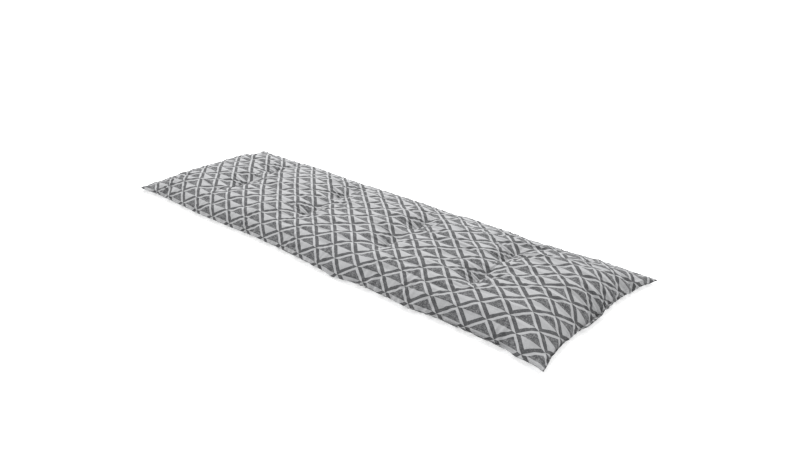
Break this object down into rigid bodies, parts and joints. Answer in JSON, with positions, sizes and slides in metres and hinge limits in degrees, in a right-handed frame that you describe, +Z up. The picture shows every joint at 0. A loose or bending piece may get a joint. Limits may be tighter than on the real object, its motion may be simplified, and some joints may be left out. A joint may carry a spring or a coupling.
{
  "type": "bench cushion",
  "caption": "Long filled bench cushion with a knife-edge seam and tacked columns that part its filling into soft panels, in a grey diamond trellis cloth.",
  "frame": {"origin": "middle of the cushion's box, on the surface that it lies on", "axes": "+X along the bench to the cushion's right end, +Y across the seat to the back edge, +Z up"},
  "size_m": [1.48, 0.5, 0.0612],
  "materials": {
    "cloth": "matt woven upholstery cloth in two greys, a trellis of shaded diamonds"
  },
  "bodies": {
    "root": {"cushion": "cloth"}
  },
  "joints": []
}
